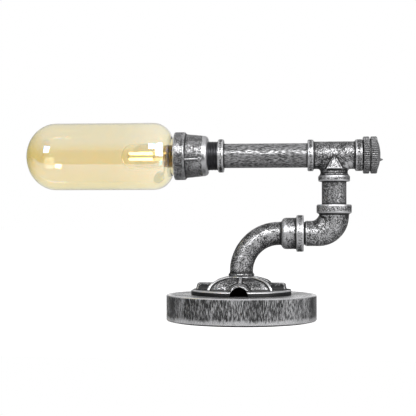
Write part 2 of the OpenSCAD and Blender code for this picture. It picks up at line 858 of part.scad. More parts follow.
module cup_nipple() {
    r = nipple_d / 2;
    x1 = ring_x1 - end_gap;
    turns = floor((nipple_l - 2 * thread_margin) / thread_pitch);
    color(dark_iron) difference() {
        rod_run(nipple_x0, x1, nipple_d);
        rod_run(nipple_x0 - over, x1 + over, pipe_bore);
        rod_run(arm_x0 - end_gap, x1 + over, pipe_socket_d);
        for (i = [0:turns - 1]) let (x = cup_x1 + thread_margin + (i + 0.5) * thread_pitch)
            turned_run([[x - thread_depth, r + hair], [x, r - thread_depth], [x + thread_depth, r + hair]]);
    }
}

cup_rib_root = 3;
cup_ring_edge = 1.6;
seat_chamfer = 1;

module cup_rib(a) {
    x0 = cup_x0 + cup_ring_w;
    x1 = x0 + cup_rib_l;
    boss_x = x1 - cup_boss_d / 2;
    r1 = cup_d / 2 - (cup_d - cup_end_d) / 2 * cup_rib_l / (cup_l - cup_ring_w);
    translate([0, 0, run_z]) rotate([a, 0, 0]) intersection() {
        translate([0, 0, r1 - cup_rib_root]) linear_extrude(cup_ring_d) {
            translate([x0 - over, -cup_rib_w / 2]) square([boss_x - x0 + over, cup_rib_w]);
            translate([boss_x, 0]) circle(d = cup_boss_d);
        }
        turned_x([
            [cup_x0, 0], [cup_x0, cup_d / 2 + cup_rib_h], [x0, cup_d / 2 + cup_rib_h], [x1, r1 + cup_rib_h],
            [x1, 0]
        ]);
    }
}

module shade_cup() {
    ring_x = cup_x0 + cup_ring_w;
    seat_r = cup_seat_d / 2;
    color(aged_silver) difference() {
        union() {
            turned_run(concat(
                [[cup_x0, 0]], band(cup_x0, ring_x, cup_ring_d / 2, cup_ring_edge), [[ring_x, cup_d / 2]],
                arc([cup_x1 - cup_shoulder_r, cup_end_d / 2 - cup_shoulder_r], cup_shoulder_r, 90, 0, 6),
                [[cup_x1, 0]]));
            for (i = [0:cup_ribs - 1]) cup_rib(cup_rib_angle + 360 * i / cup_ribs);
        }
        turned_run([
            [cup_x0 - over, 0], [cup_x0 - over, seat_r + seat_chamfer], [cup_x0, seat_r + seat_chamfer],
            [cup_x0 + seat_chamfer, seat_r], [seat_x, seat_r], [seat_x, cup_room_d / 2],
            [nipple_x0, cup_room_d / 2], [nipple_x0, cup_rear_bore / 2], [cup_x1 + over, cup_rear_bore / 2],
            [cup_x1 + over, 0]
        ]);
    }
}

// Glass shade

module shade_sleeve() {
    outer = cup_seat_d / 2 - thread_gap;
    inner = neck_d / 2 + thread_gap;
    color(rubber) turned_run([
        [neck_x1 - sleeve_l, inner], [neck_x1 - sleeve_l, outer], [seat_x, outer], [seat_x, cup_room_d / 2],
        [neck_x1, cup_room_d / 2], [neck_x1, inner]
    ]);
}

// Outline of the capsule inset by t: rounded end, straight side, shoulder and neck
function capsule(t) =
    let (r = glass_r - t, e = glass_end_l - t, s = glass_shoulder_r - t, n = neck_d / 2 - t,
         sx = cup_x0 - glass_shoulder_r - neck_show,
         sa = asin((n - r + s) / s))
    concat([for (i = [0:14]) let (a = 90 * i / 14) [glass_x0 + t + e * (1 - cos(a)), r * sin(a)]],
           arc([sx, r - s], s, 90, sa, 9),
           [[neck_x1, n]]);

module glass_shade() {
    outside = capsule(0);
    inside = capsule(glass_wall);
    color(amber_glass)
        turned_run(concat(outside, [for (i = [len(inside) - 1:-1:0]) inside[i]]));
}

// Lamp holder and bulb

shell_inset = 0.5;
contact_r = 3;
contact_foot_r = 6;
contact_foot_t = 1;

module holder_body() {
    shell_bore = holder_shell_d / 2 + thread_gap;
    color([0.08, 0.08, 0.08]) turned_run([
        [holder_floor, 0], [holder_floor, shell_bore], [holder_x0, shell_bore], [holder_x0, holder_d / 2],
        [holder_x1, holder_d / 2], [holder_x1, 0]
    ]);
}

module holder_shell() {
    r = holder_shell_d / 2;
    color(brass) turned_run([
        [holder_x0 + shell_inset, r - shell_wall], [holder_x0 + shell_inset, r], [holder_floor, r],
        [holder_floor, r - shell_wall]
    ]);
}

module holder_contact() {
    color(brass) turned_run([
        [contact_end, 0], [contact_end, contact_r], [holder_floor - contact_foot_t, contact_r],
        [holder_floor - contact_foot_t, contact_foot_r], [holder_floor, contact_foot_r], [holder_floor, 0]
    ]);
}

cap_pitch = 3.6;
cap_rim = 3;
cap_thread_depth = 1.1;
cap_core_r = cap_d / 2 - cap_thread_depth;
cap_contact_r = 4.8;
bulb_shoulder_l = 8;
bulb_shoulder_r = 5;
bulb_neck_l = 1;
stem_gap = 0.2;
stem_foot_t = 1;

// Outline of the cap's rolled thread, inset by t
function cap_thread(t) =
    let (n = floor((cap_l - cap_rim) / cap_pitch), x0 = cap_x + cap_rim, r = cap_d / 2 - t)
    [for (i = [0:n - 1], k = [0:5]) let (a = 60 * k)
        [x0 + (i + k / 6) * cap_pitch, r - cap_thread_depth * (1 + cos(a)) / 2]];

module bulb_cap() {
    inner = cap_thread(cap_wall);
    color(plated) turned_run(concat(
        [[cap_x, cap_core_r - cap_wall], [cap_x, cap_core_r]], cap_thread(0),
        [[insulator_x, cap_core_r], [insulator_x, cap_core_r - cap_wall]],
        [for (i = [len(inner) - 1:-1:0]) inner[i]]));
}

module bulb_cap_insulator() {
    color([0.05, 0.05, 0.06]) turned_run([
        [insulator_x, 0], [insulator_x, cap_core_r], [contact_x, cap_core_r / 2], [contact_x, 0]
    ]);
}

module bulb_contact() {
    color(plated) turned_run([
        [contact_x, 0], [contact_x, cap_contact_r], [contact_end, cap_contact_r - cap_contact_l / 2],
        [contact_end, 0]
    ]);
}

// Outline of the bulb's tube inset by t: round tip, tube, shoulder and neck
function bulb_outline(t) =
    let (r = bulb_r - t, n = bulb_neck_d / 2 - t, x1 = cap_x + bulb_in)
    concat(arc([bulb_tip + bulb_r, 0], r, 180, 90, 9),
           arc([cap_x - bulb_shoulder_l, r - bulb_shoulder_r], bulb_shoulder_r, 90, 40, 4),
           [[cap_x - bulb_neck_l, n], [x1, n]]);

module bulb_glass() {
    inside = bulb_outline(bulb_wall);
    color(clear_glass)
        turned_run(concat(bulb_outline(0), [for (i = [len(inside) - 1:-1:0]) inside[i]]));
}

module bulb_stem() {
    foot_r = bulb_neck_d / 2 - bulb_wall - stem_gap;
    x1 = cap_x + bulb_in;
    color(clear_glass) turned_run([
        [stem_x, 0], [stem_x, stem_d / 2], [cap_x, stem_d / 2], [x1 - stem_foot_t, foot_r], [x1, foot_r],
        [x1, 0]
    ]);
}

module at_filaments() {
    for (y = [-1, 1], z = [-1, 1]) translate([0, y * filament_pitch / 2, z * filament_pitch / 2]) children();
}

module bulb_leads() {
    reach = filament_pitch + filament_d;
    color(plated) translate([0, 0, run_z]) {
        translate([filament_x1 + lead_t / 2, 0, 0]) for (a = [45, 135]) rotate([a, 0, 0])
            cube([lead_t, reach * sqrt(2), lead_t], center = true);
        for (y = [-1, 1]) translate([filament_x0 - lead_t / 2, y * filament_pitch / 2, 0])
            cube([lead_t, lead_t, reach], center = true);
    }
}

module bulb_filaments() {
    color([1, 0.82, 0.35]) translate([0, 0, run_z]) at_filaments()
        rod_x(filament_x0, filament_x1, filament_d);
}

// Switch and knob

switch_bevel = 1;
knurl_crown = 0.15;
ring_bevel = 0.8;
knurl_margin = 0.2;
nib_root = 1.5;
nib_tip_d = 0.8;
set_screw_socket = 2;

module end_bush() {
    color(plated) difference() {
        rod_run(bush_x, tee_x1, pipe_d);
        rod_run(bush_x - over, tee_x1 + over, switch_neck_d + 2 * thread_gap);
    }
}

module switch_body() {
    shaft_r = shaft_d / 2 + run_gap;
    neck_r = switch_neck_d / 2;
    color([0.12, 0.12, 0.13]) turned_run([
        [switch_x0, 0], [switch_x0, switch_d / 2 - switch_bevel], [switch_x0 + switch_bevel, switch_d / 2],
        [bush_x, switch_d / 2], [bush_x, neck_r], [tee_x1 + neck_out, neck_r], [tee_x1 + neck_out, shaft_r],
        [shaft_x0 - end_gap, shaft_r], [shaft_x0 - end_gap, 0]
    ]);
}

module switch_nut() {
    color(plated) difference() {
        translate([tee_x1, 0, run_z]) rotate([0, 90, 0]) cylinder(d = nut_af / cos(30), h = nut_t, $fn = 6);
        rod_run(tee_x1 - over, tee_x1 + nut_t + over, switch_neck_d + 2 * thread_gap);
    }
}

module switch_shaft() {
    color(plated) difference() {
        rod_run(shaft_x0, shaft_x1, shaft_d);
        translate([knob_floor, shaft_d / 2 - shaft_flat, run_z - shaft_d])
            cube([shaft_grip + over, shaft_d, 2 * shaft_d]);
    }
}

// Star outline of the knurl
function knurl() =
    [for (i = [0:knurl_n - 1], k = [0:3])
        let (a = (i + k / 4) * 360 / knurl_n, cut = k == 2 ? knurl_depth : k == 0 ? 0 : knurl_crown)
        (knob_d / 2 - cut) * [cos(a), sin(a)]];

module knob() {
    r = knob_d / 2;
    g = r - knob_groove;
    full = r + knurl_margin;
    edge = full - ring_bevel;
    dome_r = (dome_h * dome_h + dome_d * dome_d / 4) / (2 * dome_h);
    dome_a = asin(dome_d / 2 / dome_r);
    nib_x = knob_x1 + sqrt(dome_r * dome_r - nib_off * nib_off) - dome_r + dome_h;
    color(aged_silver) difference() {
        union() {
            intersection() {
                translate([knob_x0, 0, run_z]) rotate([0, 90, 0])
                    linear_extrude(knob_x1 - knob_x0) polygon(knurl());
                turned_run([
                    [knob_x0, 0], [knob_x0, edge], [knob_x0 + ring_bevel, full],
                    [knob_ring1_x - ring_bevel, full], [knob_ring1_x, edge], [knob_ring1_x, g],
                    [knob_ring2_x, g], [knob_ring2_x, edge], [knob_ring2_x + ring_bevel, full],
                    [knob_x1 - knob_bevel, full], [knob_x1, full - knob_bevel], [knob_x1, 0]
                ]);
            }
            turned_run(concat(
                [[knob_x1 - over, 0], [knob_x1 - over, dome_d / 2]],
                arc([knob_x1 + dome_h - dome_r, 0], dome_r, dome_a, 0, 8)));
            translate([nib_x - nib_root, 0, run_z - nib_off]) rotate([0, 90, 0])
                cylinder(d1 = nib_d, d2 = nib_tip_d, h = nib_l);
        }
        rod_run(knob_x0 - over, knob_floor, recess_d);
        rod_run(knob_floor - over, shaft_x1 + end_gap, shaft_d + 2 * run_gap);
        translate([set_screw_x, 0, run_z]) rotate([-90, 0, 0])
            cylinder(d = set_screw_d + 2 * thread_gap, h = r + over);
    }
}

module knob_set_screw() {
    y0 = shaft_d / 2 - shaft_flat;
    y1 = knob_d / 2 - set_screw_sink;
    hex_d = set_screw_d / 2;
    color(plated) translate([set_screw_x, 0, run_z]) rotate([-90, 0, 0]) difference() {
        translate([0, 0, y0]) cylinder(d = set_screw_d, h = y1 - y0);
        translate([0, 0, y1 - set_screw_socket]) cylinder(d = hex_d, h = set_screw_socket + over, $fn = 6);
    }
}

// Wiring inside the pipes

lead_in = 4;
block_lead = 1;

// Supply flex: terminal block, base, both bends, riser, then over to the switch
function supply_path() =
    let (z0 = hollow_top - block_h / 2, drop = 5, turn = 8,
         bore_r = elbow_outer_r - elbow_neck_d / 2)
    concat([[-block_off, z0]],
           arc([-block_off + block_lead, z0 + block_off - block_lead], block_off - block_lead, -90, 0, 5),
           arc([bend_r, bend_cz], bend_r, 180, 90, 9),
           arc([riser_x - bore_r, hub_z + bore_r], bore_r, -90, 0, 7),
           arc([riser_x + turn, run_z - drop - turn], turn, 180, 90, 5),
           [[switch_x0, run_z - drop]]);

// Lamp flex: back of the lamp holder, along the arm, then up to the switch
function lamp_path() =
    let (rise = 5, x0 = tee_x0 + socket_l, x1 = riser_x)
    concat([[holder_x1, run_z], [holder_x1 + lead_in, run_z]],
           [for (i = [0:6]) let (t = i / 6) [x0 + (x1 - x0) * t, run_z + rise * (1 - cos(180 * t)) / 2]],
           [[switch_x0 - lead_in, run_z + rise], [switch_x0, run_z + rise]]);

module supply_flex() {
    color(rubber) flex(supply_path(), flex_d);
}

module lamp_flex() {
    color(rubber) flex(lamp_path(), lamp_flex_d);
}

base_disc();
base_pad();
cord_grommet();
terminal_block();
terminal_screw();
flange();
flange_screws();
sweep_bend();
street_elbow();
riser_nipple();
tee();
arm_pipe();
lock_ring();
cup_nipple();
shade_cup();
shade_sleeve();
glass_shade();
holder_body();
holder_shell();
holder_contact();
bulb_cap();
bulb_cap_insulator();
bulb_contact();
bulb_glass();
bulb_stem();
bulb_leads();
bulb_filaments();
end_bush();
switch_body();
switch_nut();
switch_shaft();
knob();
knob_set_screw();
supply_flex();
lamp_flex();
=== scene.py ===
import bmesh
import bpy
import json
import math
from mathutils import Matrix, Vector

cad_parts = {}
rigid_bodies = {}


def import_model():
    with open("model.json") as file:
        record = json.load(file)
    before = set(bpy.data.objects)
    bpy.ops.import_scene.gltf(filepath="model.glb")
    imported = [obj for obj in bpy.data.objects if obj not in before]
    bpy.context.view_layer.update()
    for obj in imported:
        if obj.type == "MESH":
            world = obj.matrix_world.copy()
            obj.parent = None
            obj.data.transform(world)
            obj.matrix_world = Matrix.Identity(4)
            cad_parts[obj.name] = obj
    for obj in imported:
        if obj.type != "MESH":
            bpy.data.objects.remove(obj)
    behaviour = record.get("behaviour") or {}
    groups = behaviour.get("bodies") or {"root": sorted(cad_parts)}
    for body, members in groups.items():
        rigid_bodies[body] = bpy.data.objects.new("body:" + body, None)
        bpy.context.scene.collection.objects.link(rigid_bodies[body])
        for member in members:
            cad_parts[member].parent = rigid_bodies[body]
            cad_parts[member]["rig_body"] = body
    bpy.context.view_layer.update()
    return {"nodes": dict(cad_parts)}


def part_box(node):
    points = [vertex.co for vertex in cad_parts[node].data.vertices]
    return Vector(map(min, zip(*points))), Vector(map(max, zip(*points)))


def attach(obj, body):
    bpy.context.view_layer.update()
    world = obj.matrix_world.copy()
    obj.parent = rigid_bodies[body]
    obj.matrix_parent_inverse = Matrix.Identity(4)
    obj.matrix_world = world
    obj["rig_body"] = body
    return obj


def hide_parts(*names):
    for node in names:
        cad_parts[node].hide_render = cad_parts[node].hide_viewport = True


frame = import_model()
nodes = frame["nodes"]
scene = bpy.context.scene
mm = 0.001
print("frame loaded:", len(nodes), "nodes")


# Helpers

def linear(hexColour):
    parts = [int(hexColour[i:i + 2], 16) / 255 for i in (1, 3, 5)]
    return tuple(c / 12.92 if c <= 0.04045 else ((c + 0.055) / 1.055) ** 2.4 for c in parts) + (1,)


def addNode(tree, kind, settings, sockets):
    node = tree.nodes.new(kind)
    for key, value in settings.items():
        setattr(node, key, value)
    for key, value in sockets.items():
        if isinstance(value, bpy.types.NodeSocket):
            tree.links.new(value, node.inputs[key])
        else:
            node.inputs[key].default_value = value
    return node


def newMaterial(name):
    material = bpy.data.materials.new(name)
    material.use_nodes = True
    tree = material.node_tree
    tree.nodes.clear()
    shader = addNode(tree, "ShaderNodeBsdfPrincipled", {}, {})
    addNode(tree, "ShaderNodeOutputMaterial", {}, {"Surface": shader.outputs[0]})
    return material, tree, shader


def perMm(size):
    return 1 / (size * mm)  # texture scale that gives a pattern of this size in mm


def meshPiece(name, verts, faces):
    mesh = bpy.data.meshes.new(name)
    mesh.from_pydata(verts, [], faces)
    mesh.validate()
    piece = bpy.data.objects.new(name, mesh)
    scene.collection.objects.link(piece)
    for polygon in mesh.polygons:
        polygon.use_smooth = True
    return piece


def lookAt(thing, aim):
    thing.rotation_euler = (aim - thing.location).to_track_quat("-Z", "Y").to_euler()


def dress(piece, material):
    piece.data.materials.clear()
    piece.data.materials.append(material)


def standFor(piece, node, material):
    dress(piece, material)
    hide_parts(node)
    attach(piece, nodes[node]["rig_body"])


# Camera: a little to the right of the base, level with the lower pipes

photoCamera = {"eye": (65, -1150, 103), "aim": (-37, 0, 124), "focalPx": 1044, "framePx": 416, "sensorMm": 36}


def buildCamera():
    data = bpy.data.cameras.new("photoCamera")
    data.sensor_width = photoCamera["sensorMm"]
    data.lens = photoCamera["focalPx"] / photoCamera["framePx"] * photoCamera["sensorMm"]
    camera = bpy.data.objects.new("photoCamera", data)
    scene.collection.objects.link(camera)
    camera.location = Vector(photoCamera["eye"]) * mm
    lookAt(camera, Vector(photoCamera["aim"]) * mm)
    scene.camera = camera


buildCamera()
print("camera placed")


# Floor, world and softboxes

studio = {
    "floorM": 60, "floorFrontMm": 330,  # the table ends in front of the lamp, which the glass mirrors
    "floorColour": "#D4D4D4", "floorLift": 0.9, "floorRough": 0.9, "floorSpecular": 0.1,
    "ambient": 0.2, "backdrop": 1.0, "backFrom": 0.85, "backFull": 0.98,  # white wall behind the lamp
    "room": 0.05, "ceiling": 0.66, "ceilingFrom": 0.05, "ceilingFull": 0.9,  # dim room under a pale ceiling
}
softboxes = {
    "keySoftbox": {"place": (40, -1100, 850), "size": (600, 420), "watts": 9},
    "leftSoftbox": {"place": (-1000, -1500, 820), "size": (670, 650), "watts": 9.5},
    "rightSoftbox": {"place": (850, -755, 587), "size": (1150, 980), "watts": 9.5},
}
softboxAim = Vector((-40, 0, 140)) * mm


def buildFloor():
    half = studio["floorM"] / 2
    front = studio["floorFrontMm"] * mm
    corners = [(-half, -front, 0), (half, -front, 0), (half, half, 0), (-half, half, 0)]
    floor = meshPiece("floor", corners, [(0, 1, 2, 3)])
    material, tree, shader = newMaterial("palePaperSweep")  # matt paper: white, and it holds a soft shadow
    shader.inputs["Base Color"].default_value = linear(studio["floorColour"])
    shader.inputs["Roughness"].default_value = studio["floorRough"]
    shader.inputs["Specular IOR Level"].default_value = studio["floorSpecular"]
    shader.inputs["Emission Color"].default_value = (1, 1, 1, 1)
    rays = addNode(tree, "ShaderNodeLightPath", {}, {}).outputs
    seen = addNode(tree, "ShaderNodeMath", {"operation": "MAXIMUM"}, {
        0: rays["Is Camera Ray"], 1: rays["Is Transmission Ray"]}).outputs[0]
    lift = addNode(tree, "ShaderNodeMath", {"operation": "MULTIPLY"}, {
        0: seen, 1: studio["floorLift"]}).outputs[0]
    tree.links.new(lift, shader.inputs["Emission Strength"])
    dress(floor, material)


def buildWorld():
    world = bpy.data.worlds.new("whiteStudio")
    world.use_nodes = True
    tree = world.node_tree
    tree.nodes.clear()
    rays = addNode(tree, "ShaderNodeLightPath", {}, {}).outputs
    toward = addNode(tree, "ShaderNodeTexCoord", {}, {}).outputs["Generated"]
    part = addNode(tree, "ShaderNodeSeparateXYZ", {}, {0: toward}).outputs
    above = addNode(tree, "ShaderNodeMapRange", {"interpolation_type": "SMOOTHSTEP"}, {
        "Value": part["Z"], "From Min": studio["ceilingFrom"], "From Max": studio["ceilingFull"],
        "To Min": studio["room"], "To Max": studio["ceiling"]}).outputs[0]
    behind = addNode(tree, "ShaderNodeMapRange", {"interpolation_type": "SMOOTHSTEP"}, {
        "Value": part["Y"], "From Min": studio["backFrom"], "From Max": studio["backFull"]}).outputs[0]
    mirrored = addNode(tree, "ShaderNodeMix", {"data_type": "FLOAT"}, {
        0: behind, 2: above, 3: studio["backdrop"]}).outputs[0]
    glossy = addNode(tree, "ShaderNodeMix", {"data_type": "FLOAT"}, {
        0: rays["Is Glossy Ray"], 2: studio["ambient"], 3: mirrored}).outputs[0]
    seen = addNode(tree, "ShaderNodeMath", {"operation": "MAXIMUM"}, {
        0: rays["Is Camera Ray"], 1: rays["Is Transmission Ray"]}).outputs[0]
    strength = addNode(tree, "ShaderNodeMix", {"data_type": "FLOAT"}, {
        0: seen, 2: glossy, 3: studio["backdrop"]}).outputs[0]
    shade = addNode(tree, "ShaderNodeBackground", {}, {"Color": (1, 1, 1, 1), "Strength": strength})
    addNode(tree, "ShaderNodeOutputWorld", {}, {"Surface": shade.outputs[0]})
    scene.world = world


def buildLights():
    for name, box in softboxes.items():
        data = bpy.data.lights.new(name, "AREA")
        data.shape = "RECTANGLE"
        data.size, data.size_y = [side * mm for side in box["size"]]
        data.energy = box["watts"]
        light = bpy.data.objects.new(name, data)
        scene.collection.objects.link(light)
        light.location = Vector(box["place"]) * mm
        lookAt(light, softboxAim)


scene.view_settings.view_transform = "Standard"
buildFloor()
buildWorld()
buildLights()
print("studio set")


# Aged silver: silver paint rubbed over black enamel

agedSilver = {
    "black": "#111112", "silver": "#D2D2D4", "blackRough": 0.45, "grainDetail": 3, "grainSharp": 0.6,
    "shelterFrom": 0.45, "shelterTo": 0.82,  # share of open sky from black crease to rubbed face
    "cavityFrom": 0.15, "cavityTo": 0.4, "cavityShade": -1, "skySamples": 6,  # painted shade: the same for deep hollows, which go black, such as inside the mouths
}
noiseMean = 0.5


def rubTerms(tree, place, finish):  # what adds silver at a place, or takes it away, painted shade in deep hollows included
    crown = addNode(tree, "ShaderNodeAttribute", {"attribute_name": "crownMm"}, {}).outputs["Fac"]
    edge = addNode(tree, "ShaderNodeMapRange", {}, {
        "Value": crown, "From Min": -finish["crownMm"], "From Max": finish["crownMm"],
        "To Min": -finish["edge"], "To Max": finish["edge"]}).outputs[0]
    # per-vertex extra from each casting: wear, painted highlight and painted shade
    terms = [edge, addNode(tree, "ShaderNodeAttribute", {"attribute_name": "rubAndPaintedLight"}, {}).outputs["Fac"]]
    creases = (finish["shelterMm"], agedSilver["shelterFrom"], agedSilver["shelterTo"], -finish["shelter"])
    hollowShade = (finish["cavityMm"], agedSilver["cavityFrom"], agedSilver["cavityTo"], agedSilver["cavityShade"])
    for reach, closed, clear, amount in (creases, hollowShade):
        sky = addNode(tree, "ShaderNodeAmbientOcclusion", {"samples": agedSilver["skySamples"]}, {
            "Distance": reach * mm}).outputs["AO"]
        terms.append(addNode(tree, "ShaderNodeMapRange", {}, {
            "Value": sky, "From Min": closed, "From Max": clear, "To Min": amount, "To Max": 0}).outputs[0])
    height = addNode(tree, "ShaderNodeSeparateXYZ", {}, {0: place}).outputs["Z"]
    level = addNode(tree, "ShaderNodeVectorMath", {"operation": "MULTIPLY"}, {
        0: place, 1: (1, 1, 0)}).outputs[0]
    radius = addNode(tree, "ShaderNodeVectorMath", {"operation": "LENGTH"}, {0: level}).outputs["Value"]
    for measure, bands in ((height, finish["heightMm"]), (radius, finish["radiusMm"])):
        for full, gone, amount in bands:
            terms.append(addNode(tree, "ShaderNodeMapRange", {}, {
                "Value": measure, "From Min": full * mm, "From Max": gone * mm,
                "To Min": amount, "To Max": 0}).outputs[0])
    return terms


def rubbedSilver(name, finish):
    material, tree, shader = newMaterial(name)
    place = addNode(tree, "ShaderNodeTexCoord", {}, {}).outputs["Object"]
    along = addNode(tree, "ShaderNodeVectorMath", {"operation": "MULTIPLY"}, {
        0: place, 1: finish["stretch"]}).outputs[0]
    grain = addNode(tree, "ShaderNodeTexNoise", {}, {
        "Vector": along, "Scale": perMm(finish["grainMm"]),
        "Detail": agedSilver["grainDetail"], "Roughness": agedSilver["grainSharp"]}).outputs["Fac"]
    patch = addNode(tree, "ShaderNodeTexNoise", {}, {
        "Vector": along, "Scale": perMm(finish["patchMm"])}).outputs["Fac"]
    mixed = addNode(tree, "ShaderNodeMath", {"operation": "MULTIPLY_ADD"}, {
        0: patch, 1: finish["patch"], 2: grain}).outputs[0]
    for term in rubTerms(tree, place, finish):
        mixed = addNode(tree, "ShaderNodeMath", {"operation": "ADD"}, {0: mixed, 1: term}).outputs[0]
    middle = noiseMean * (1 + finish["patch"]) + finish["bare"]
    rub = addNode(tree, "ShaderNodeMapRange", {"interpolation_type": "SMOOTHSTEP"}, {
        "Value": mixed, "From Min": middle - finish["soft"], "From Max": middle + finish["soft"]}).outputs[0]
    colour = addNode(tree, "ShaderNodeMix", {"data_type": "RGBA"}, {
        0: rub, 6: linear(agedSilver["black"]), 7: linear(agedSilver["silver"])}).outputs[2]
    metal = addNode(tree, "ShaderNodeMath", {"operation": "MULTIPLY"}, {
        0: rub, 1: finish["silverMetal"]}).outputs[0]
    rough = addNode(tree, "ShaderNodeMapRange", {}, {
        "Value": rub, "To Min": agedSilver["blackRough"], "To Max": finish["silverRough"]}).outputs[0]
    bump = addNode(tree, "ShaderNodeBump", {}, {
        "Strength": finish["bump"], "Distance": finish["bumpMm"] * mm, "Height": grain}).outputs[0]
    looks = {"Base Color": colour, "Metallic": metal, "Roughness": rough, "Normal": bump}
    for socket, value in looks.items():
        tree.links.new(value, shader.inputs[socket])
    return material


plateEdgeMm = 0.1  # how near the plate's outer edge a point counts as on it
baseHigh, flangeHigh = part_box("base_disc")[1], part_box("flange")[1]
baseTop, baseR = baseHigh.z / mm, baseHigh.x / mm
collarTop, plateR = flangeHigh.z / mm, flangeHigh.x / mm
flangePoints = [vertex.co / mm for vertex in nodes["flange"].data.vertices]
plateTop = max(point.z for point in flangePoints if math.hypot(point.x, point.y) > plateR - plateEdgeMm)

# Bands of wear by height and radius: where full, where gone, silver added
castFinish = {  # sand-cast iron: pebbled skin, bright rubbed edges, black left in the hollows
    "stretch": (1, 1, 1), "grainMm": 1.1, "patchMm": 9, "patch": 0.3,  # flecks drawn coarse enough to show
    "bare": 0.125, "soft": 0.09, "silverRough": 0.34, "silverMetal": 0.85,
    "edge": 0.6, "crownMm": 0.2, "shelter": 0.9, "shelterMm": 3.5, "cavityMm": 20,
    "bump": 0.55, "bumpMm": 0.35, "heightMm": [], "radiusMm": [],
}
armFinish = {  # drawn pipe rubbed lengthwise: long fine flecks and one streak of light
    **castFinish, "stretch": (0.2, 1, 1), "grainMm": 0.8, "patch": 0.15, "edge": 0,
    "bare": 0.07, "soft": 0.23, "silverRough": 0.3, "silverMetal": 1.0, "bump": 0.2,
}
riserFinish = {  # drawn pipe rubbed upwards: fine, even speckle
    **castFinish, "stretch": (1, 1, 0.5), "grainMm": 0.9, "patch": 0.15, "edge": 0,
    "bare": 0.07, "soft": 0.16, "silverRough": 0.31, "silverMetal": 0.92,
}
cupFinish = {  # smoother casting: dense silver with fine flecks and a bright glint
    **castFinish, "grainMm": 0.9, "edge": 0.25, "bare": 0.055, "silverRough": 0.29, "silverMetal": 1.0,
    "bump": 0.4,
}
teeFinish = {  # casting with softer flecks on its run
    **castFinish, "bare": 0.12, "soft": 0.12, "silverMetal": 0.88,
}
knobFinish = {  # turned and knurled iron: even grey, black only deep between the ridges
    **castFinish, "grainMm": 0.9, "edge": 0, "bare": 0.12, "soft": 0.35, "bump": 0.1, "shelterMm": 1.5,
}
flangeFinish = {  # vaulted casting: bright ribs, and the plate's side stays black
    **castFinish, "edge": 0.9, "bare": 0.1, "silverMetal": 0.7, "silverRough": 0.28,
    "heightMm": [(plateTop - 0.8, plateTop - 0.1, -0.5)],
}
baseFinish = {  # turned wood: silver dry-brushed in upright strokes, worn at both rims, darker on the top
    **castFinish, "stretch": (1, 1, 0.11), "grainMm": 0.65, "patchMm": 24, "patch": 0.4, "edge": 0,
    "bare": 0.1, "soft": 0.12, "silverMetal": 0.62, "silverRough": 0.26, "shelter": 0.1,
    "bump": 0.2, "bumpMm": 0.2,
    "heightMm": [(0.5, 7.5, 0.34), (baseTop - 0.2, baseTop - 1.4, 0.32)],
    "radiusMm": [(baseR - 6, baseR - 2.5, -0.24)],
}

castIron = rubbedSilver("agedSilverCastIron", castFinish)
cupIron = rubbedSilver("agedSilverCup", cupFinish)
teeIron = rubbedSilver("agedSilverTee", teeFinish)
flangeIron = rubbedSilver("agedSilverFlange", flangeFinish)
armIron = rubbedSilver("agedSilverArmPipe", armFinish)
riserIron = rubbedSilver("agedSilverRiser", riserFinish)
knobIron = rubbedSilver("agedSilverKnob", knobFinish)
brushedWood = rubbedSilver("agedSilverWood", baseFinish)


# Plain materials with a fine grain

plainGrain = {"detail": 4, "sharp": 0.6, "roughSpread": 0.1, "bumpMm": 0.1}
plainLooks = {
    "darkThreadAndShade": {  # cut thread, dark satin rings; kept dark also as painted shade in its recess between cup and ring
        "dark": "#2A2A2C", "light": "#5E5E62", "metal": 0.9, "rough": 0.4, "grainMm": 0.9, "bump": 0.2},
    "nickelPlate": {  # plated steel: pale satin grey
        "dark": "#A8A49C", "light": "#CFCBC4", "metal": 1.0, "rough": 0.3, "grainMm": 1.5, "bump": 0.1},
    "warmNickel": {  # plated bulb cap, heat-stained: brown and straw patches
        "dark": "#4E3A26", "light": "#C8AE84", "metal": 1.0, "rough": 0.3, "grainMm": 1.5, "bump": 0.1},
    "rolledBrass": {  # rolled sheet: warm yellow sheen
        "dark": "#A37B3C", "light": "#C79E55", "metal": 1.0, "rough": 0.3, "grainMm": 1.5, "bump": 0.1},
    "blackPhenolic": {  # moulded: near black, half gloss
        "dark": "#0D0D0E", "light": "#161617", "metal": 0.0, "rough": 0.4, "grainMm": 0.8, "bump": 0.15},
    "whiteNylon": {  # moulded: creamy white, soft sheen
        "dark": "#CFCBBE", "light": "#DDD9CE", "metal": 0.0, "rough": 0.45, "grainMm": 0.8, "bump": 0.15},
    "blackRubber": {  # moulded: black and dull
        "dark": "#0C0C0C", "light": "#191919", "metal": 0.0, "rough": 0.75, "grainMm": 0.6, "bump": 0.3},
    "milkySilicone": {  # moulded: pale and cloudy
        "dark": "#D9D2BF", "light": "#E6E0D0", "metal": 0.0, "rough": 0.5, "grainMm": 0.8, "bump": 0.1},
    "pressedFelt": {  # pressed fibres: black, no shine, a little fuzzy
        "dark": "#0B0B0B", "light": "#242424", "metal": 0.0, "rough": 0.95, "grainMm": 0.5, "bump": 0.8},
}


